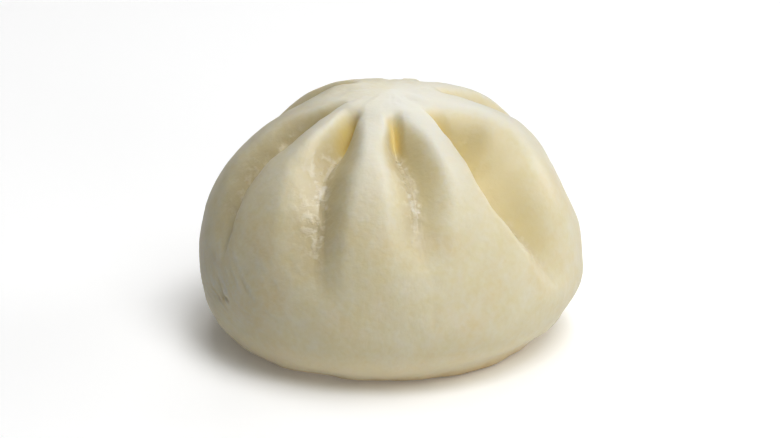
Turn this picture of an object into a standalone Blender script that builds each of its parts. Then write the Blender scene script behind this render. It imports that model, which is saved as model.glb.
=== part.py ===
"""Pleated steamed bun: one closed piece of dough, gathered into a knot at the top.

Metres, +Z up. The flat foot lies on z = 0 with its centre at the origin, and -Y is the front.
A place on the skin is given by its azimuth (degrees from the front, towards +X) and by its
polar angle (0 at the knot, 90 at the widest ring, 180 at the rim of the foot).
"""
from collections import namedtuple

import bmesh
import bpy
import numpy as np

MM = 0.001

# The plain bun, before it is pleated.
WAIST_RADIUS = 38 * MM
WAIST_HEIGHT = 15 * MM
CROWN_HEIGHT = 50 * MM
FOOT_RADIUS = 27 * MM

# Nine creases run down from the knot. Each one leans, and is followed at three polar angles.
CREASE_POLARS = (15, 45, 80)
LOWEST_BEND = 95

# crown, shoulder, foot   azimuth at those three polar angles, degrees
# start, end              polar angle where the crease opens and where it has faded, degrees
# depth, pocket           depth of the crease, and what its mouth at the knot adds, mm
# floor                   half the width of its flat floor, mm
# left, right             reach of its two walls, mm
# puff                    how far the fold on its right swells out, mm
Crease = namedtuple("Crease", "crown shoulder foot start end depth pocket floor left right puff")
CREASES = (
    Crease(2, 8, 12, 17, 74, 3.2, 2.2, 0.9, 4.6, 9.5, 0.7),
    Crease(43, 40, 53, 16, 89, 6.2, 1.8, 0.3, 2.8, 17.0, 2.0),
    Crease(110, 108, 108, 15, 80, 2.7, 1.0, 0.3, 6.5, 7.5, 0.6),
    Crease(150, 150, 148, 16, 77, 2.6, 1.2, 0.3, 6.5, 6.0, 0.6),
    Crease(180, 183, 186, 14, 81, 2.8, 1.2, 0.3, 6.0, 7.5, 0.5),
    Crease(210, 214, 218, 18, 76, 2.6, 1.0, 0.3, 6.5, 7.5, 0.8),
    Crease(236, 246, 248, 14, 80, 3.8, 1.4, 0.3, 7.0, 3.6, 0.6),
    Crease(302, 299, 301, 16, 79, 6.0, 0.6, 0.8, 9.0, 2.4, 0.3),
    Crease(325, 331, 340, 18, 84, 4.0, 2.6, 0.6, 7.0, 9.0, 1.0),
)

# Slow rises and hollows of the hand-shaped body: where, how wide (degrees) and how high (mm).
Swell = namedtuple("Swell", "azimuth polar spread height")
SWELLS = (
    Swell(0, 0, 25, -0.8),
    Swell(-132, 14, 10, 0.5),
    Swell(-137, 28, 15, 0.8),
    Swell(-110, 47, 22, -1.0),
    Swell(-90, 90, 12, 0.2),
    Swell(-92, 104, 12, -1.3),
    Swell(127, 30, 16, 0.5),
    Swell(106, 42, 10, 0.9),
    Swell(93, 60, 18, -1.6),
    Swell(93, 80, 10, 0.5),
    Swell(88, 103, 15, 0.7),
    Swell(75, 122, 12, -0.7),
    Swell(-72, 130, 35, 0.6),
    Swell(42, 150, 18, -2.2),
)

# The shape of every groove and fold: plain shares, apart from the polar angles in degrees.
WALL_CURVE = 1.75
WALL_ROUNDING = {"left": 0.45, "right": 0.75}
FADE = 2.2
POCKET_POLAR = 6
POCKET_SPREAD = 8
POCKET_LEFT = 0.48
POCKET_RIGHT = 0.22
MOUTH_WIDTH = 0.35
MOUTH_LENGTH = 22
LOW_TAPER = 0.4
LOW_WIDENING = 0.7
MOST_OF_FOLD = 0.55
FLOOR_OF_FOLD = 0.15
KNOT_ROUNDING = 0.09

# The mesh: columns across a fold draw together at its creases, rings are closer at the crown.
FOLD_COLUMNS = 14
RINGS = 38
COLUMN_GATHER = 0.6
RING_GATHER = 1.25

DOUGH_COLOUR = (0.80, 0.76, 0.62, 1)
DOUGH_ROUGHNESS = 0.5


def clear_scene():
    for item in list(bpy.data.objects):
        bpy.data.objects.remove(item, do_unlink=True)


def smoothstep(x):
    x = np.clip(x, 0, 1)
    return x * x * (3 - 2 * x)


def of_crease(field, number):
    """One field of the crease table, picked for each vertex by its crease number."""
    return np.array([getattr(crease, field) for crease in CREASES])[number]


def crease_azimuth(number, polar):
    """Parabola through the three azimuths of a crease, straight down below the waist."""
    top, middle, low = CREASE_POLARS
    t = np.minimum(polar, LOWEST_BEND)
    at_top = (t - middle) * (t - low) / ((top - middle) * (top - low))
    at_middle = (t - top) * (t - low) / ((middle - top) * (middle - low))
    at_low = (t - top) * (t - middle) / ((low - top) * (low - middle))
    crown, shoulder, foot = (of_crease(name, number) for name in ("crown", "shoulder", "foot"))
    waver = 0.9 * np.sin(0.17 * t + 2.1 * number) + 0.15 * np.sin(0.6 * t + 1.3 * number)
    return crown * at_top + shoulder * at_middle + foot * at_low + waver


def crease_run(number, polar):
    """How far down its crease a place lies, from 0 at the knot end to 1 at the low end."""
    start, end = of_crease("start", number), of_crease("end", number)
    return np.clip((polar - start) / (end - start), 0, 1)


def crease_depth(number, polar):
    """Depth at the crease line: it opens slowly below the knot and fades towards the waist."""
    opening = smoothstep((polar - of_crease("start", number) + 2) / 18)
    run = crease_run(number, polar)
    return of_crease("depth", number) * MM * opening * (1 - run ** FADE)


def pocket_depth(number, polar):
    """Extra depth of the small pocket that a crease begins with, just under the knot."""
    past_start = polar - of_crease("start", number)
    swell = np.exp(-((past_start - POCKET_POLAR) / POCKET_SPREAD) ** 2)
    return of_crease("pocket", number) * MM * swell * smoothstep((past_start + 2) / 6)


def groove_cut(number, polar, distance, fold_width, side):
    """Depth cut into a fold at a distance from a crease: a flat floor, then an S-shaped wall."""
    mouth = smoothstep((polar - of_crease("start", number)) / MOUTH_LENGTH)
    at_low_end = crease_run(number, polar) ** 2
    widening = 1 + at_low_end * (LOW_WIDENING if side == "left" else -LOW_TAPER)
    reach = of_crease(side, number) * MM * (MOUTH_WIDTH + (1 - MOUTH_WIDTH) * mouth) * widening
    reach = np.minimum(reach, MOST_OF_FOLD * fold_width)
    flat = np.minimum(of_crease("floor", number) * MM, FLOOR_OF_FOLD * fold_width) * mouth
    up_wall = np.clip((distance - flat) / np.maximum(reach - flat, MM / 1000), 0, 1)
    sharp, round_off = (1 - up_wall) ** WALL_CURVE, 1 - smoothstep(up_wall)
    return crease_depth(number, polar) * (sharp + WALL_ROUNDING[side] * (round_off - sharp))


def pocket_cut(number, polar, distance, side):
    """Depth of the pocket at a distance from its crease."""
    reach = of_crease(side, number) * MM * (POCKET_LEFT if side == "left" else POCKET_RIGHT)
    return pocket_depth(number, polar) * (1 - smoothstep(distance / np.maximum(reach, MM)))


def plain_bun(polar):
    """Radius and height of the plain bun, and its outward direction in that plane."""
    angle = np.radians(polar)
    above = polar <= 90
    inner = np.where(above, 0, FOOT_RADIUS)
    width = WAIST_RADIUS - inner
    rise = np.where(above, CROWN_HEIGHT - WAIST_HEIGHT, WAIST_HEIGHT)
    radius = inner + width * np.sin(angle)
    height = WAIST_HEIGHT + rise * np.cos(angle)
    out, up = rise * np.sin(angle), width * np.cos(angle)
    length = np.hypot(out, up)
    return radius, height, out / length, up / length * np.where(above, 1, np.sin(angle))


def angle_between(azimuth, polar, swell):
    """Angle in degrees from each place on the bun to the middle of a swell."""
    turn = np.radians(azimuth - swell.azimuth)
    here, there = np.radians(polar), np.radians(swell.polar)
    cosine = np.cos(here) * np.cos(there) + np.sin(here) * np.sin(there) * np.cos(turn)
    return np.degrees(np.arccos(np.clip(cosine, -1, 1)))


def fold_relief(polar, across, fold, fold_width):
    """Height of a fold's own rounding, without the grooves at its two sides."""
    swollen = smoothstep((polar - 20) / 20) * (1 - smoothstep((polar - 48) / 40))
    puff = of_crease("puff", fold) * MM * swollen * 4 * across * (1 - across)
    at_knot = smoothstep((polar - 17) / 12) * (1 - smoothstep((polar - 26) / 22))
    return puff - KNOT_ROUNDING * fold_width * (2 * across - 1) ** 2 * at_knot


def bun_surface(turn, polar):
    """Points of the pleated skin. Turn counts folds: its whole part is the fold's number."""
    count = len(CREASES)
    fold = np.floor(turn).astype(int) % count
    after = (fold + 1) % count
    across = turn - np.floor(turn)
    across = across - COLUMN_GATHER * np.sin(2 * np.pi * across) / (2 * np.pi)
    begin = crease_azimuth(fold, polar)
    end = crease_azimuth(after, polar) + np.where(after == 0, 360, 0)
    azimuth = begin + (end - begin) * across

    radius, height, out, up = plain_bun(polar)
    fold_width = radius * np.radians(end - begin)
    from_begin, to_end = across * fold_width, (1 - across) * fold_width
    relief = fold_relief(polar, across, fold, fold_width)
    relief -= groove_cut(fold, polar, from_begin, fold_width, "right")
    relief -= groove_cut(after, polar, to_end, fold_width, "left")
    relief -= pocket_cut(fold, polar, from_begin, "right") + pocket_cut(after, polar, to_end, "left")
    for swell in SWELLS:
        away = angle_between(azimuth, polar, swell) / swell.spread
        relief += swell.height * MM * np.exp(-away ** 2)

    radius = np.maximum(radius + relief * out, 0)
    angle = np.radians(azimuth)
    return np.stack([radius * np.sin(angle), -radius * np.cos(angle), height + relief * up], axis=1)


def mould(mesh):
    """Move a ball's vertices onto the skin. Its last ring is the foot's rim, its pole the foot."""
    ball = np.array([vert.co for vert in mesh.verts])
    turn = np.degrees(np.arctan2(ball[:, 1], ball[:, 0])) % 360 * len(CREASES) / 360
    ring = np.round(np.degrees(np.arccos(np.clip(ball[:, 2], -1, 1))) * RINGS / 180)
    polar = 180 * np.minimum(ring / (RINGS - 1), 1) ** RING_GATHER
    places = bun_surface(turn, polar)
    places[ring == RINGS] = 0
    for vert, place in zip(mesh.verts, places):
        vert.co = place


def dough_material():
    material = bpy.data.materials.new("dough")
    material.use_nodes = True
    shader = material.node_tree.nodes["Principled BSDF"]
    shader.inputs["Base Color"].default_value = DOUGH_COLOUR
    shader.inputs["Roughness"].default_value = DOUGH_ROUGHNESS
    return material


def make_bun():
    mesh = bmesh.new()
    columns = FOLD_COLUMNS * len(CREASES)
    bmesh.ops.create_uvsphere(mesh, u_segments=columns, v_segments=RINGS, radius=1)
    mould(mesh)
    bmesh.ops.recalc_face_normals(mesh, faces=mesh.faces)
    for face in mesh.faces:
        face.smooth = True
    data = bpy.data.meshes.new("bun")
    mesh.to_mesh(data)
    mesh.free()
    data.materials.append(dough_material())
    bun = bpy.data.objects.new("bun", data)
    bpy.context.scene.collection.objects.link(bun)


clear_scene()
make_bun()
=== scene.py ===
from collections import namedtuple
from math import cos, radians, sin

import bmesh
import bpy
import numpy as np
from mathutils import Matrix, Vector, noise


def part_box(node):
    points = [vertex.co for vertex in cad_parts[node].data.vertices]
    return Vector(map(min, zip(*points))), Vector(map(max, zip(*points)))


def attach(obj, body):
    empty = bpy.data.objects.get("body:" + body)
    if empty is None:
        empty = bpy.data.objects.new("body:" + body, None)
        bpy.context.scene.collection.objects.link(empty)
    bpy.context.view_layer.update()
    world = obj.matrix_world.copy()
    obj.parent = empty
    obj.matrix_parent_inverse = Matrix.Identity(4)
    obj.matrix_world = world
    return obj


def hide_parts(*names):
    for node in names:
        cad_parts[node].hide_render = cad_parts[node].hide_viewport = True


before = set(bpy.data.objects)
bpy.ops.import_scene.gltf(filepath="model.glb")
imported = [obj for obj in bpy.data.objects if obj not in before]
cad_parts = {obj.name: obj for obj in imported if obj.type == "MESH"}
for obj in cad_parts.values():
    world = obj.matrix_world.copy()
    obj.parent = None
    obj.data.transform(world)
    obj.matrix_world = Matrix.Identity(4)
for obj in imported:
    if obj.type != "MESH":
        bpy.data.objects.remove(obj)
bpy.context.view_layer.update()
MM = 0.001


# ---- Bun ------------------------------------------------------------------------------------
# A steamed bun of soft white wheat dough, closed round its filling. The rolled disc of dough is
# gathered by hand into nine folds, which meet in a knot at the top, and steaming swells them into
# smooth ridges. Between the folds the dough is stretched, so there it is moist and torn. Its yellow
# there is a painted glow, of light shining through the thin walls and between them.

# A place on the skin is given by its azimuth (degrees from the front, towards +X) and by its
# polar angle (0 at the knot, 90 at the widest ring, 180 at the rim of the foot).
# The plain bun, before it is pleated, is a little higher than the CAD one: its knot sinks in.
foot_corner, top_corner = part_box("bun")
WAIST_RADIUS = (top_corner[1] - foot_corner[1]) / 2
WAIST_HEIGHT = 15 * MM
CROWN_HEIGHT = 1.015 * (top_corner[2] - foot_corner[2])
FOOT_RADIUS = 27 * MM

# Each crease leans on its way down from the knot, and is followed at three polar angles.
# crown, shoulder, foot   azimuth at those three polar angles, degrees
# start, end              polar angle where the crease opens and where it has faded, degrees
# depth, pocket           depth of the crease, and what its mouth at the knot adds, mm
# floor                   half the width of its flat floor, mm
# left, right             reach of its two walls, mm
# puff                    how far the fold on its right swells out, mm
# torn, tear              how rough the torn dough in it is, and how far up the left wall it goes, mm
CREASE_POLARS = (15, 45, 80)
LOWEST_BEND = 95
Crease = namedtuple("Crease", "crown shoulder foot start end depth pocket floor left right puff torn tear")
CREASES = (
    Crease(2, 8, 12, 17, 74, 3.2, 2.2, 0.9, 4.6, 9.5, 0.7, 0.14, 3.0),
    Crease(43, 40, 53, 16, 89, 6.2, 1.8, 0.3, 2.8, 17.0, 2.0, 0.14, 3.2),
    Crease(110, 108, 108, 15, 80, 2.7, 1.0, 0.3, 6.5, 7.5, 0.6, 0.12, 1.5),
    Crease(150, 150, 148, 16, 77, 2.6, 1.2, 0.3, 6.5, 6.0, 0.6, 0.14, 2.0),
    Crease(180, 183, 186, 14, 81, 2.8, 1.2, 0.3, 6.0, 7.5, 0.5, 0.14, 2.0),
    Crease(210, 214, 218, 18, 76, 2.6, 1.0, 0.3, 6.5, 7.5, 0.8, 0.12, 1.5),
    Crease(236, 246, 248, 14, 80, 3.8, 1.4, 0.3, 7.0, 3.6, 0.6, 0.10, 1.5),
    Crease(302, 299, 301, 16, 79, 6.0, 0.6, 0.8, 9.0, 2.4, 0.3, 0.13, 6.5),
    Crease(325, 331, 340, 18, 84, 4.0, 2.6, 0.6, 7.0, 9.0, 1.0, 0.13, 4.8),
)

# A crease also wavers: swing in degrees, pace down the bun, and shift from crease to crease.
WAVERS = ((0.9, 0.17, 2.1), (0.15, 0.6, 1.3))

# Slow rises and hollows of the hand-shaped body: where, how wide (degrees) and how high (mm).
# The last three are the parts of one small dent.
Swell = namedtuple("Swell", "azimuth polar spread height")
SWELLS = (
    Swell(0, 0, 25, -0.8),
    Swell(-132, 14, 10, 0.5),
    Swell(-137, 28, 15, 0.8),
    Swell(-110, 47, 22, -1.0),
    Swell(-90, 90, 12, 0.2),
    Swell(-92, 104, 12, -1.3),
    Swell(127, 30, 16, 0.5),
    Swell(106, 42, 10, 0.9),
    Swell(93, 60, 18, -1.6),
    Swell(93, 80, 10, 0.5),
    Swell(88, 103, 15, 0.7),
    Swell(75, 122, 12, -0.7),
    Swell(-72, 130, 35, 0.6),
    Swell(42, 150, 18, -2.2),
    Swell(-58, 89, 2.6, -0.3),
    Swell(-56, 92, 2.1, -0.35),
    Swell(-60, 95, 2.4, -0.3),
)

# Fine wrinkles and faint seams of the skin: both ends, half the width and the height, mm.
Wrinkle = namedtuple("Wrinkle", "azimuth polar low_azimuth low_polar width height")
WRINKLES = (
    Wrinkle(-50, 17, -75, 41, 0.9, -0.5),
    Wrinkle(23, 84, 16, 100, 0.8, 0.12),
    Wrinkle(31, 82, 30, 102, 0.8, 0.10),
    Wrinkle(12, 80, 13, 96, 0.9, -0.10),
    Wrinkle(62, 86, 60, 106, 0.9, 0.14),
    Wrinkle(68, 84, 78, 108, 1.0, -0.12),
)

# A patch of crumpled skin: its middle, how far it reaches beside and below that, the length and
# width of its wrinkles, and their height, mm.
CRUMPLE_AZIMUTH = 302
CRUMPLE_POLAR = 88
CRUMPLE_BESIDE = 17
CRUMPLE_BELOW = 13
CRUMPLE_LENGTH = 7
CRUMPLE_WIDTH = 1.5
CRUMPLE_HEIGHT = 0.26

# Unevenness of the dough: height and size of its lumps, mm, and how many octaves they have. The
# height of torn dough is multiplied by the crease table's, and the knot's lumps lie in its gathers.
Lumps = namedtuple("Lumps", "height size octaves")
BODY_LUMPS = Lumps(0.30, 13, 2)
SKIN_LUMPS = Lumps(0.05, 3, 2)
RIM_LUMPS = Lumps(1.2, 9, 1)
RIM_NICKS = Lumps(0.45, 4.5, 2)
TORN_LUMPS = Lumps(1, 1.5, 2)
KNOT_LUMPS = Lumps(0.18, 1, 2)

# Bands of the skin, in polar angles: where each thing rises, is full, ebbs and is gone.
FOLD_SWELLS = (20, 40, 48, 88)
FOLD_ROUNDS = (17, 29, 26, 48)
KNOT_GATHERS = (2, 10, 12, 26)
SEAM_RISES = (4, 10)
SEAM_EBBS = 8
FOOT_FLAT = (140, 180)
RIM_UNEVEN = (125, 165)
PALE_HIGHLIGHT_CROWN = (24, 70)

# The shape of every groove and fold: plain shares and powers, and polar angles in degrees.
OPENING_LEAD = 2
OPENING_LENGTH = 18
WALL_CURVE = 1.75
WALL_ROUNDING = {"left": 0.45, "right": 0.75}
FADE = 2.2
POCKET_OPENING = 6
POCKET_POLAR = 6
POCKET_SPREAD = 8
POCKET_LEFT = 0.48
POCKET_RIGHT = 0.22
MOUTH_WIDTH = 0.35
MOUTH_LENGTH = 22
LOW_TAPER = 0.4
LOW_WIDENING = 0.7
MOST_OF_FOLD = 0.55
FLOOR_OF_FOLD = 0.15
KNOT_ROUNDING = 0.09
TORN_RUN = (0.14, 0.29, 0.66, 1)
TORN_RIGHT = 0.35

# The faint seams that carry the creases on into the knot, mm, then how close the small gathers
# round the knot lie, and how long they are in degrees.
SEAM_DEPTH = 0.05
SEAM_WIDTH = 0.7
GATHERS_ROUND = 3
GATHERS_LENGTH = 10

# How deep, in mm, the painted glow is full in a pocket and in a groove, how deep the painted shade
# of the grooves is full, and where the pale tone, partly a painted highlight, ends. That highlight is
# strongest on the side towards the key light, and the crumpled wrinkles carry a painted sheen.
POCKET_GLOW_DEPTH = 2.0
GROOVE_GLOW_DEPTH = 4.4
GROOVE_GLOW_SHARE = 0.25
GROOVE_GLOW_CURVE = 1.5
CREASE_SHADE_DEPTH = 3.0
PALE_HIGHLIGHT_GROOVE = 1.0
LIT_SIDE_AZIMUTH = 40
LIT_SIDE_SHARE = 0.35
WRINKLE_SHEEN_SHARE = 1.4
FULLY_TORN = 0.14

# The mesh: columns across a fold draw together at its creases, rings are closer at the crown.
FOLD_COLUMNS = 50
SKIN_RINGS = 204
FOOT_RINGS = 6
COLUMN_GATHER = 0.6
RING_GATHER = 1.25
MERGE_DISTANCE = MM / 10000


def smoothstep(x):
    x = np.clip(x, 0, 1)
    return x * x * (3 - 2 * x)


def ramp(x, low, high):
    """Smooth rise from 0 at low to 1 at high."""
    return smoothstep((x - low) / (high - low))


def band(x, rise, full, ebb, gone):
    """Smooth share that is 0 up to rise, rises to full, and falls from ebb to 0 at gone."""
    return ramp(x, rise, full) * (1 - ramp(x, ebb, gone))


def of_crease(field, number):
    """One field of the crease table, picked for each vertex by its crease number."""
    return np.array([getattr(crease, field) for crease in CREASES])[number]


def crease_azimuth(number, polar):
    """Parabola through the three azimuths of a crease, straight down below the waist."""
    top, middle, low = CREASE_POLARS
    t = np.minimum(polar, LOWEST_BEND)
    at_top = (t - middle) * (t - low) / ((top - middle) * (top - low))
    at_middle = (t - top) * (t - low) / ((middle - top) * (middle - low))
    at_low = (t - top) * (t - middle) / ((low - top) * (low - middle))
    crown, shoulder, foot = (of_crease(name, number) for name in ("crown", "shoulder", "foot"))
    waver = sum(swing * np.sin(pace * t + shift * number) for swing, pace, shift in WAVERS)
    return crown * at_top + shoulder * at_middle + foot * at_low + waver


def crease_run(number, polar):
    """How far down its crease a place lies, from 0 at the knot end to 1 at the low end."""
    start, end = of_crease("start", number), of_crease("end", number)
    return np.clip((polar - start) / (end - start), 0, 1)


def crease_depth(number, polar):
    """Depth at the crease line: it opens slowly below the knot and fades towards the waist."""
    opening = smoothstep((polar - of_crease("start", number) + OPENING_LEAD) / OPENING_LENGTH)
    run = crease_run(number, polar)
    return of_crease("depth", number) * MM * opening * (1 - run ** FADE)


def pocket_depth(number, polar):
    """Extra depth of the small pocket that a crease begins with, just under the knot."""
    past_start = polar - of_crease("start", number)
    swell = np.exp(-((past_start - POCKET_POLAR) / POCKET_SPREAD) ** 2)
    opening = smoothstep((past_start + OPENING_LEAD) / POCKET_OPENING)
    return of_crease("pocket", number) * MM * swell * opening


def groove_cut(number, polar, distance, fold_width, side):
    """Depth cut into a fold at a distance from a crease: a flat floor, then an S-shaped wall."""
    mouth = smoothstep((polar - of_crease("start", number)) / MOUTH_LENGTH)
    at_low_end = crease_run(number, polar) ** 2
    widening = 1 + at_low_end * (LOW_WIDENING if side == "left" else -LOW_TAPER)
    reach = of_crease(side, number) * MM * (MOUTH_WIDTH + (1 - MOUTH_WIDTH) * mouth) * widening
    reach = np.minimum(reach, MOST_OF_FOLD * fold_width)
    flat = np.minimum(of_crease("floor", number) * MM, FLOOR_OF_FOLD * fold_width) * mouth
    up_wall = np.clip((distance - flat) / np.maximum(reach - flat, MM / 1000), 0, 1)
    sharp, round_off = (1 - up_wall) ** WALL_CURVE, 1 - smoothstep(up_wall)
    return crease_depth(number, polar) * (sharp + WALL_ROUNDING[side] * (round_off - sharp))


def pocket_cut(number, polar, distance, side):
    """Depth of the pocket at a distance from its crease."""
    reach = of_crease(side, number) * MM * (POCKET_LEFT if side == "left" else POCKET_RIGHT)
    return pocket_depth(number, polar) * (1 - smoothstep(distance / np.maximum(reach, MM)))


def torn_roughness(number, polar, distance, side):
    """How rough the torn dough beside a crease is: most on its left wall, none in its pocket."""
    along = band(crease_run(number, polar), *TORN_RUN)
    width = of_crease("tear", number) * MM * (1 if side == "left" else TORN_RIGHT)
    return of_crease("torn", number) * along * np.exp(-(distance / width) ** 2)


def plain_bun(polar):
    """Radius and height of the plain bun, and its outward direction in that plane."""
    angle = np.radians(polar)
    above = polar <= 90
    inner = np.where(above, 0, FOOT_RADIUS)
    width = WAIST_RADIUS - inner
    rise = np.where(above, CROWN_HEIGHT - WAIST_HEIGHT, WAIST_HEIGHT)
    radius = inner + width * np.sin(angle)
    height = WAIST_HEIGHT + rise * np.cos(angle)
    out, up = rise * np.sin(angle), width * np.cos(angle)
    length = np.hypot(out, up)
    return radius, height, out / length, up / length * np.where(above, 1, np.sin(angle))


def fold_relief(polar, across, fold, fold_width):
    """Height of a fold's own rounding, without the grooves at its two sides."""
    puff = of_crease("puff", fold) * MM * band(polar, *FOLD_SWELLS) * 4 * across * (1 - across)
    rounding = KNOT_ROUNDING * fold_width * (2 * across - 1) ** 2 * band(polar, *FOLD_ROUNDS)
    return puff - rounding


def swell_relief(azimuth, polar, swell):
    """Height of one slow rise or hollow, by the angle from its middle."""
    turn = np.radians(azimuth - swell.azimuth)
    here, there = np.radians(polar), np.radians(swell.polar)
    cosine = np.cos(here) * np.cos(there) + np.sin(here) * np.sin(there) * np.cos(turn)
    away = np.degrees(np.arccos(np.clip(cosine, -1, 1))) / swell.spread
    return swell.height * MM * np.exp(-away ** 2)


def wrinkle_relief(azimuth, polar, wrinkle):
    """Height of one straight wrinkle, tapering to nothing at both of its ends."""
    share = (polar - wrinkle.polar) / (wrinkle.low_polar - wrinkle.polar)
    lean = (wrinkle.low_azimuth - wrinkle.azimuth) / (wrinkle.low_polar - wrinkle.polar)
    aside = (azimuth - wrinkle.azimuth - lean * (polar - wrinkle.polar) + 180) % 360 - 180
    aside = aside * np.sin(np.radians(polar)) / np.hypot(1, lean * np.sin(np.radians(polar)))
    distance = aside * radians(1) * WAIST_RADIUS / (wrinkle.width * MM)
    return wrinkle.height * MM * np.exp(-distance ** 2) * np.sin(np.pi * np.clip(share, 0, 1))


def seam_relief(number, polar, distance):
    """A faint line that carries each crease on into the knot."""
    start = of_crease("start", number)
    shown = band(polar, *SEAM_RISES, start, start + SEAM_EBBS)
    return -SEAM_DEPTH * MM * shown * np.exp(-(distance / (SEAM_WIDTH * MM)) ** 2)


def lumpy(places, lumps, scale=MM):
    """Height of soft lumps at each place. Scale is the unit that their size is given in."""
    heights = [noise.fractal(Vector(place) / (lumps.size * scale), 1, 2, lumps.octaves) for place in places]
    return lumps.height * MM * np.array(heights)


def knot_gathers(azimuth, polar):
    """Small radial gathers where all the folds were pinched together at the top."""
    angle = np.radians(azimuth)
    ways = GATHERS_ROUND * np.sin(angle), GATHERS_ROUND * np.cos(angle), polar / GATHERS_LENGTH
    return lumpy(np.stack(ways, axis=1), KNOT_LUMPS, scale=1) * band(polar, *KNOT_GATHERS)


def crumple(azimuth, polar):
    """Fine wrinkles of the crumpled patch, running down to the right, about -1 to 1."""
    beside = (azimuth - CRUMPLE_AZIMUTH) * radians(1) * WAIST_RADIUS / MM
    below = (polar - CRUMPLE_POLAR) * radians(1) * WAIST_RADIUS / MM
    along, across = (beside + below) / CRUMPLE_LENGTH, (beside - below) / CRUMPLE_WIDTH
    wrinkles = np.array([noise.fractal((x, y, 0), 1, 2, 2) for x, y in zip(along, across)])
    return wrinkles * np.exp(-(beside / CRUMPLE_BESIDE) ** 2 - (below / CRUMPLE_BELOW) ** 2)


def dough_shares(azimuth, polar, groove, pocket, crumpled, torn):
    """Shares of the dough's painted glow, painted crease shade, pale tone with painted highlight, painted
    sheen and torn dough, by the way it is pleated.
    """
    groove_glow = GROOVE_GLOW_SHARE * (groove / (GROOVE_GLOW_DEPTH * MM)) ** GROOVE_GLOW_CURVE
    # Painted highlight: the pale share grows towards the side that the key light faces.
    lit_side = 1 - LIT_SIDE_SHARE + LIT_SIDE_SHARE * np.cos(np.radians(azimuth - LIT_SIDE_AZIMUTH))
    return {
        # Painted glow: yellow deep in the pockets and grooves, for light through and between their walls.
        "crease_glow": pocket / (POCKET_GLOW_DEPTH * MM) + groove_glow,
        # Painted shade: darker down in the grooves.
        "crease_shade": smoothstep(groove / (CREASE_SHADE_DEPTH * MM)),
        # Pale tone of the crown and crests, partly a painted highlight on the lit side.
        "pale_and_highlight": lit_side * (1 - ramp(polar, *PALE_HIGHLIGHT_CROWN)) * (1 - smoothstep(groove / (PALE_HIGHLIGHT_GROOVE * MM))),
        # Painted sheen on the tops of the crumpled wrinkles.
        "wrinkle_sheen": WRINKLE_SHEEN_SHARE * np.maximum(crumpled, 0),
        "torn": torn / FULLY_TORN,
    }


def mould_bun(mesh):
    """Wrap a flat sheet of dough, -1 to 1 each way, into the bun: X runs round it, Y up it.

    Returns the dough's shares of each look, by name, at each vertex.
    """
    rings = SKIN_RINGS + FOOT_RINGS
    sheet = np.array([vert.co for vert in mesh.verts])
    turn = (sheet[:, 0] + 1) / 2 * len(CREASES)
    ring = np.round((1 - sheet[:, 1]) / 2 * rings)
    polar = 180 * np.minimum(ring / SKIN_RINGS, 1) ** RING_GATHER

    fold = np.floor(turn).astype(int) % len(CREASES)
    after = (fold + 1) % len(CREASES)
    across = turn - np.floor(turn)
    across = across - COLUMN_GATHER * np.sin(2 * np.pi * across) / (2 * np.pi)
    begin = crease_azimuth(fold, polar)
    end = crease_azimuth(after, polar) + np.where(after == 0, 360, 0)
    azimuth = begin + (end - begin) * across
    radius, height, out, up = plain_bun(polar)
    fold_width = radius * np.radians(end - begin)
    from_begin, to_end = across * fold_width, (1 - across) * fold_width

    groove = groove_cut(fold, polar, from_begin, fold_width, "right")
    groove += groove_cut(after, polar, to_end, fold_width, "left")
    pocket = pocket_cut(fold, polar, from_begin, "right") + pocket_cut(after, polar, to_end, "left")
    relief = fold_relief(polar, across, fold, fold_width) - groove - pocket
    for swell in SWELLS:
        relief += swell_relief(azimuth, polar, swell)
    for wrinkle in WRINKLES:
        relief += wrinkle_relief(azimuth, polar, wrinkle)
    relief += seam_relief(fold, polar, from_begin) + seam_relief(after, polar, to_end)
    relief += knot_gathers(azimuth, polar)

    angle = np.radians(azimuth)
    places = np.stack([radius * np.sin(angle), -radius * np.cos(angle), height], axis=1)
    relief += (lumpy(places, BODY_LUMPS) + lumpy(places, SKIN_LUMPS)) * (1 - ramp(polar, *FOOT_FLAT))
    crumpled = crumple(azimuth, polar)
    relief += CRUMPLE_HEIGHT * MM * crumpled
    torn = np.maximum(
        torn_roughness(fold, polar, from_begin, "right"), torn_roughness(after, polar, to_end, "left"))
    relief += torn * lumpy(places, TORN_LUMPS)

    radius = np.maximum(radius + relief * out, 0)
    radius += (lumpy(places, RIM_LUMPS) + lumpy(places, RIM_NICKS)) * ramp(polar, *RIM_UNEVEN)
    radius *= np.clip((rings - ring) / FOOT_RINGS, 0, 1)
    placed = np.stack([radius * np.sin(angle), -radius * np.cos(angle), height + relief * up], axis=1)
    for vert, place in zip(mesh.verts, placed):
        vert.co = place
    return dough_shares(azimuth, polar, groove, pocket, crumpled, torn)


bun_mesh = bmesh.new()
bmesh.ops.create_grid(
    bun_mesh, x_segments=FOLD_COLUMNS * len(CREASES), y_segments=SKIN_RINGS + FOOT_RINGS, size=1)
for name, shares in mould_bun(bun_mesh).items():
    layer = bun_mesh.verts.layers.float.new(name)
    for vert, share in zip(bun_mesh.verts, shares):
        vert[layer] = min(share, 1)
bmesh.ops.remove_doubles(bun_mesh, verts=bun_mesh.verts, dist=MERGE_DISTANCE)
bmesh.ops.recalc_face_normals(bun_mesh, faces=bun_mesh.faces)
for face in bun_mesh.faces:
    face.smooth = True
bun_data = bpy.data.meshes.new("steamed_bun")
bun_mesh.to_mesh(bun_data)
bun_mesh.free()

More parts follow.
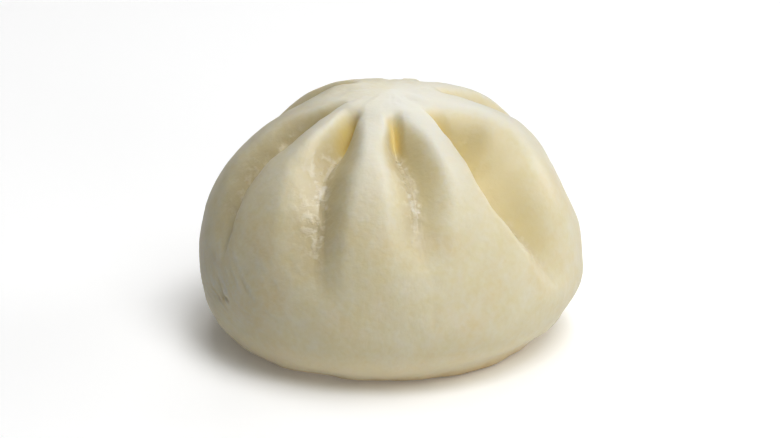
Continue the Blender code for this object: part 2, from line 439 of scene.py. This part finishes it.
DOUGH_SKIN = (0.68, 0.61, 0.395, 1)
DOUGH_WARM = (0.69, 0.57, 0.33, 1)
DOUGH_PALE_AND_HIGHLIGHT = (0.75, 0.738, 0.665, 1)
DOUGH_CREASE_GLOW = (0.80, 0.65, 0.27, 1)
DOUGH_CREASE_SHADE = (0.57, 0.485, 0.27, 1)
DOUGH_PEACH = (0.58, 0.503, 0.335, 1)
DOUGH_TORN_AND_GLINT = (0.80, 0.76, 0.66, 1)
DOUGH_WRINKLE_SHEEN = (0.68, 0.665, 0.58, 1)
DOUGH_DAMP_AND_BOUNCE = (0.88, 0.77, 0.53, 1)
DOUGH_FOOT_SHADE = (0.66, 0.48, 0.22, 1)

# Height above the floor up to which the dough is lighter and yellower, its damp tone with painted
# light thrown up from the floor, and up to which it is browner, a painted warm contact shade.
DAMP_AND_BOUNCE_HEIGHT = 9 * MM
FOOT_SHADE_HEIGHT = 2.5 * MM

# The skin is satin, and torn dough is moist. Light goes a few millimetres into it.
SKIN_ROUGHNESS = 0.42
TORN_GLOSS = 0.18
MOTTLED_ROUGHNESS = 0.08
GLOW_WEIGHT = 0.6
GLOW_RADIUS = (1.0, 0.8, 0.45)
GLOW_DEPTH = 2.5 * MM
FLOURY_SHEEN = 0.1

# In a Mix node that mixes colours, the sockets of the two colours and of the result.
MIX_FIRST = 6
MIX_SECOND = 7
MIX_RESULT = 2

dough = bpy.data.materials.new("steamed_dough")
dough.use_nodes = True
dough_tree = dough.node_tree
dough_shader = dough_tree.nodes["Principled BSDF"]


def set_socket(socket, value):
    """Give a socket of the dough its value, or link it to the output socket given."""
    if isinstance(value, bpy.types.NodeSocket):
        dough_tree.links.new(value, socket)
    else:
        socket.default_value = value


def dough_node(kind, **inputs):
    """Add a node to the dough, with its inputs by name."""
    node = dough_tree.nodes.new(kind)
    for name, value in inputs.items():
        set_socket(node.inputs[name.replace("_", " ")], value)
    return node


def dough_noise(scale, detail, low, high):
    """Noise pattern on the dough, stretched to run from 0 at low to 1 at high."""
    pattern = dough_node("ShaderNodeTexNoise", Vector=skin_place, Scale=scale, Detail=detail)
    return dough_range(pattern.outputs["Fac"], low, high)


def dough_range(value, low, high):
    """The value stretched to run from 0 at low to 1 at high, and held there."""
    return dough_node("ShaderNodeMapRange", Value=value, From_Min=low, From_Max=high).outputs["Result"]


def dough_mix(share, first, second):
    """The first colour, with a share of the second one laid over it."""
    mix = dough_tree.nodes.new("ShaderNodeMix")
    mix.data_type = "RGBA"
    set_socket(mix.inputs["Factor"], share)
    set_socket(mix.inputs[MIX_FIRST], first)
    set_socket(mix.inputs[MIX_SECOND], second)
    return mix.outputs[MIX_RESULT]


def dough_maths(operation, first, second):
    """Add a Math node to the dough: each term is a number or an output socket."""
    math = dough_tree.nodes.new("ShaderNodeMath")
    math.operation = operation
    set_socket(math.inputs[0], first)
    set_socket(math.inputs[1], second)
    return math.outputs["Value"]


def dough_layer(name):
    """One of the shares that were worked out with the mesh."""
    layer = dough_tree.nodes.new("ShaderNodeAttribute")
    layer.attribute_name = name
    return layer.outputs["Fac"]


skin_place = dough_tree.nodes.new("ShaderNodeTexCoord").outputs["Object"]
height_up = dough_node("ShaderNodeSeparateXYZ", Vector=skin_place).outputs["Z"]
blotches = dough_noise(110, 3, 0.48, 0.72)
clouding = dough_noise(260, 4, 0.40, 0.70)
mottling = dough_noise(900, 4, 0.35, 0.70)
flecks = dough_noise(650, 3, 0.50, 0.66)
# Lighter and yellower towards the floor: damp tone, partly painted light thrown up by the floor.
damp_and_bounce = dough_range(height_up, DAMP_AND_BOUNCE_HEIGHT, 0.0)
# Browner in the lowest few millimetres: painted warm contact shade, which also tints the floor beside it.
foot = dough_range(height_up, FOOT_SHADE_HEIGHT, 0.0)
torn = dough_layer("torn")
# Whitish flecks on the torn dough's lumps, partly painted glints.
torn_flecks_and_glints = dough_maths("MULTIPLY", torn, flecks)

# Tints of the dough, laid over each other in this order: where, how strong and of what colour.
TINTS = (
    (blotches, 0.6, DOUGH_WARM),
    (clouding, 0.26, DOUGH_PALE_AND_HIGHLIGHT),
    (mottling, 0.25, DOUGH_PALE_AND_HIGHLIGHT),
    # pale tone of crown and crests, partly a painted highlight
    (dough_layer("pale_and_highlight"), 0.85, DOUGH_PALE_AND_HIGHLIGHT),
    # painted shade in the grooves
    (dough_layer("crease_shade"), 0.85, DOUGH_CREASE_SHADE),
    # painted glow in the pockets and grooves
    (dough_layer("crease_glow"), 0.85, DOUGH_CREASE_GLOW),
    # painted sheen on the crumpled wrinkles
    (dough_layer("wrinkle_sheen"), 1, DOUGH_WRINKLE_SHEEN),
    (torn, 0.85, DOUGH_PEACH),
    # whitish torn crumb, partly painted glints on the lumps' tops
    (torn_flecks_and_glints, 0.52, DOUGH_TORN_AND_GLINT),
    # damp tone, partly painted light thrown up by the floor
    (damp_and_bounce, 1, DOUGH_DAMP_AND_BOUNCE),
    # painted warm contact shade at the foot
    (foot, 1, DOUGH_FOOT_SHADE),
)
colour = DOUGH_SKIN
for share, strength, tint in TINTS:
    colour = dough_mix(dough_maths("MULTIPLY", share, strength), colour, tint)
set_socket(dough_shader.inputs["Base Color"], colour)

gloss = dough_maths("MULTIPLY", torn, TORN_GLOSS)
roughness = dough_maths("SUBTRACT", SKIN_ROUGHNESS, gloss)
roughness = dough_maths("ADD", roughness, dough_maths("MULTIPLY", mottling, MOTTLED_ROUGHNESS))
set_socket(dough_shader.inputs["Roughness"], roughness)
dough_shader.inputs["Subsurface Weight"].default_value = GLOW_WEIGHT
dough_shader.inputs["Subsurface Radius"].default_value = GLOW_RADIUS
dough_shader.inputs["Subsurface Scale"].default_value = GLOW_DEPTH
dough_shader.inputs["Sheen Weight"].default_value = FLOURY_SHEEN

torn_bump = dough_node("ShaderNodeBump", Height=torn_flecks_and_glints, Strength=0.25, Distance=0.3 * MM)
fine_bump = dough_node("ShaderNodeBump", Height=mottling, Strength=0.18, Distance=0.2 * MM)
set_socket(fine_bump.inputs["Normal"], torn_bump.outputs["Normal"])
set_socket(dough_shader.inputs["Normal"], fine_bump.outputs["Normal"])

bun_data.materials.append(dough)
bun = bpy.data.objects.new("steamed_bun", bun_data)
bpy.context.scene.collection.objects.link(bun)
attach(bun, "root")
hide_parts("bun")


# ---- Floor ----------------------------------------------------------------------------------
# A wide sheet of plain matt white board under the bun. It looks white, but the light that it
# throws back up at the bun is that of a greyer board, so the side away from the key light stays dark.

FLOOR_SIZE = 6
FLOOR_WHITE = (0.98, 0.98, 0.98, 1)
FLOOR_BOUNCE = (0.66, 0.66, 0.66, 1)
FLOOR_ROUGHNESS = 0.9
FLOOR_GLOW = 0.08

floor_mesh = bmesh.new()
bmesh.ops.create_grid(floor_mesh, x_segments=1, y_segments=1, size=FLOOR_SIZE / 2)
floor_data = bpy.data.meshes.new("white_floor")
floor_mesh.to_mesh(floor_data)
floor_mesh.free()
floor_paint = bpy.data.materials.new("white_board")
floor_paint.use_nodes = True
floor_tree = floor_paint.node_tree
floor_shader = floor_tree.nodes["Principled BSDF"]
floor_shader.inputs["Roughness"].default_value = FLOOR_ROUGHNESS
floor_shader.inputs["Emission Color"].default_value = FLOOR_WHITE
floor_shader.inputs["Emission Strength"].default_value = FLOOR_GLOW
floor_rays = floor_tree.nodes.new("ShaderNodeLightPath")
floor_colour = floor_tree.nodes.new("ShaderNodeMix")
floor_colour.data_type = "RGBA"
floor_colour.inputs[MIX_FIRST].default_value = FLOOR_BOUNCE
floor_colour.inputs[MIX_SECOND].default_value = FLOOR_WHITE
floor_tree.links.new(floor_rays.outputs["Is Camera Ray"], floor_colour.inputs["Factor"])
floor_tree.links.new(floor_colour.outputs[MIX_RESULT], floor_shader.inputs["Base Color"])
floor_data.materials.append(floor_paint)
floor = bpy.data.objects.new("white_floor", floor_data)
bpy.context.scene.collection.objects.link(floor)


# ---- Lights ---------------------------------------------------------------------------------
# Soft studio light: nine large soft boxes round the bun, all alike apart from their power, in a
# dark room. The strongest stand in front on the right, so the left side of the bun is in shade.

BOX_AWAY = 1.3
BOX_WIDTH = 0.60
bun_middle = Vector(((foot_corner[0] + top_corner[0]) / 2, 0, (foot_corner[2] + top_corner[2]) / 2))

# azimuth (from the front, towards +X) and height angle in degrees, and power in watts
SoftBox = namedtuple("SoftBox", "name azimuth rise power")
SOFT_BOXES = (
    SoftBox("key", 60, 70, 4.8),
    SoftBox("front", 36, 50, 3.4),
    SoftBox("front_top", 12, 70, 2.1),
    SoftBox("front_low", 28, 5, 4.4),
    SoftBox("right", 80, 20, 0.8),
    SoftBox("right_rim", 110, 20, 3.1),
    SoftBox("back", 180, 30, 2.4),
    SoftBox("back_left", 240, 50, 0.5),
    SoftBox("back_top", 180, 75, 2.7),
)

for box in SOFT_BOXES:
    turn, rise = radians(box.azimuth), radians(box.rise)
    way = Vector((sin(turn) * cos(rise), -cos(turn) * cos(rise), sin(rise)))
    lamp = bpy.data.lights.new(box.name, "AREA")
    lamp.size = BOX_WIDTH
    lamp.energy = box.power
    light = bpy.data.objects.new(box.name, lamp)
    light.location = bun_middle + way * BOX_AWAY
    light.rotation_euler = way.to_track_quat("Z", "Y").to_euler()
    bpy.context.scene.collection.objects.link(light)

bpy.context.scene.view_settings.view_transform = "Standard"
bpy.context.scene.view_settings.look = "Medium High Contrast"


# ---- Camera ---------------------------------------------------------------------------------
# It looks down on the bun's front from twenty degrees above the floor, through a long lens.

CAMERA_RISE = radians(20)
CAMERA_AWAY = 0.45
CAMERA_LENS = 104.6
CAMERA_SENSOR = 36
AIM_HEIGHT = 22.5 * MM

camera_data = bpy.data.cameras.new("camera")
camera_data.lens = CAMERA_LENS
camera_data.sensor_width = CAMERA_SENSOR
camera = bpy.data.objects.new("camera", camera_data)
camera_way = Vector((0, -cos(CAMERA_RISE), sin(CAMERA_RISE)))
camera.location = Vector((0, 0, AIM_HEIGHT)) + camera_way * CAMERA_AWAY
camera.rotation_euler = (radians(90) - CAMERA_RISE, 0, 0)
bpy.context.scene.collection.objects.link(camera)
bpy.context.scene.camera = camera
